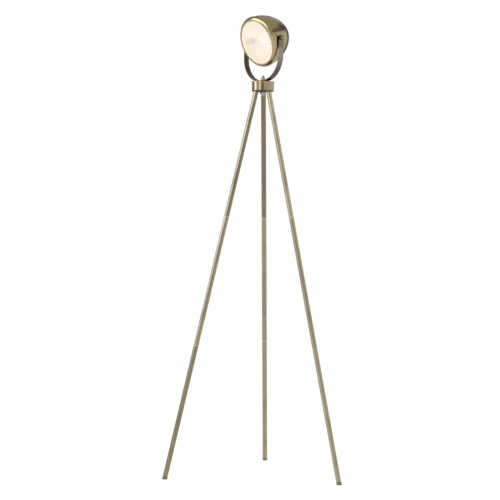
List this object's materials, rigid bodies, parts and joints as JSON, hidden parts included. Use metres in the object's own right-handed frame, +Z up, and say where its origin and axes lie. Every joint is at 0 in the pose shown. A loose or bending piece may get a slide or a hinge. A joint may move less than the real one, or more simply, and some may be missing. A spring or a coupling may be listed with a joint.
{
  "type": "spotlight floor lamp",
  "caption": "Floor lamp on a slim tripod, with a round glazed spotlight head that turns in a U-shaped yoke above a low round hub; free-standing, antique brass finish.",
  "frame": {"origin": "on the floor, in the middle of the box round the whole lamp at rest; the hub's upright axis stands 42.4 mm to -X and 40.7 mm to +Y of it", "axes": "+Z up, along the hub's axis; at rest the head looks to -Y, tipped 21.5 degrees down; +X is along the head's tilt axis"},
  "size_m": [0.5532, 0.5546, 1.4983],
  "materials": {
    "leg_brass": "antique brass, brushed along the tube",
    "hub_brass": "antique brass, turned",
    "yoke_brass": "antique brass, brushed along the strip",
    "shell_brass": "antique brass, spun and brushed",
    "bezel_brass": "antique brass, polished to a soft sheen",
    "screw_brass": "antique brass, turned",
    "cap_brass": "plain",
    "nut_steel": "bright turned steel",
    "plain_steel": "plain",
    "foot_rubber": "matt",
    "fibre": "matt",
    "gasket_rubber": "matt",
    "reflector_aluminium": "satin, bright",
    "holder_plastic": "matt",
    "lens_glass": "clear, lightly frosted",
    "bulb_glass": "opal"
  },
  "bodies": {
    "stand": {"leg_1_foot": "foot_rubber", "leg_1_lower_tube": "leg_brass", "leg_1_lower_stud": "plain_steel", "leg_1_middle_tube": "leg_brass", "leg_1_middle_bush": "plain_steel", "leg_1_middle_stud": "plain_steel", "leg_1_upper_tube": "leg_brass", "leg_1_upper_bush": "plain_steel", "leg_1_upper_stud": "plain_steel", "leg_2_foot": "foot_rubber", "leg_2_lower_tube": "leg_brass", "leg_2_lower_stud": "plain_steel", "leg_2_middle_tube": "leg_brass", "leg_2_middle_bush": "plain_steel", "leg_2_middle_stud": "plain_steel", "leg_2_upper_tube": "leg_brass", "leg_2_upper_bush": "plain_steel", "leg_2_upper_stud": "plain_steel", "leg_3_foot": "foot_rubber", "leg_3_lower_tube": "leg_brass", "leg_3_lower_stud": "plain_steel", "leg_3_middle_tube": "leg_brass", "leg_3_middle_bush": "plain_steel", "leg_3_middle_stud": "plain_steel", "leg_3_upper_tube": "leg_brass", "leg_3_upper_bush": "plain_steel", "leg_3_upper_stud": "plain_steel", "hub_body": "hub_brass", "hub_plate": "hub_brass", "centre_stud": "plain_steel", "bottom_washer": "hub_brass", "bottom_cap_nut": "nut_steel", "pan_washer": "fibre", "top_washer": "nut_steel", "top_cap_nut": "nut_steel"},
    "yoke": {"yoke": "yoke_brass"},
    "head": {"shell": "shell_brass", "bezel": "bezel_brass", "bezel_screws": "screw_brass", "lens": "lens_glass", "lens_gasket": "gasket_rubber", "reflector": "reflector_aluminium", "retaining_ring": "plain_steel", "lampholder": "holder_plastic", "bulb_cap": "cap_brass", "bulb_glass": "bulb_glass", "inlet_nipple": "plain_steel", "inner_lock_nut": "plain_steel", "outer_lock_nut": "screw_brass", "pivot_bosses": "screw_brass", "weld_nuts": "plain_steel", "tilt_screws": "screw_brass", "inner_washers": "screw_brass", "outer_washers": "screw_brass"}
  },
  "joints": [
    {"name": "pan", "type": "hinge", "parent": "stand", "child": "yoke", "pos_m": [-0.04236, 0.04074, 1.28569], "axis": [0, 0, 1], "range_deg": [-170, 170]},
    {"name": "tilt", "type": "hinge", "parent": "yoke", "child": "head", "pos_m": [-0.04236, 0.04074, 1.41919], "axis": [1, 0, 0], "range_deg": [-81.5, 68.5]}
  ]
}
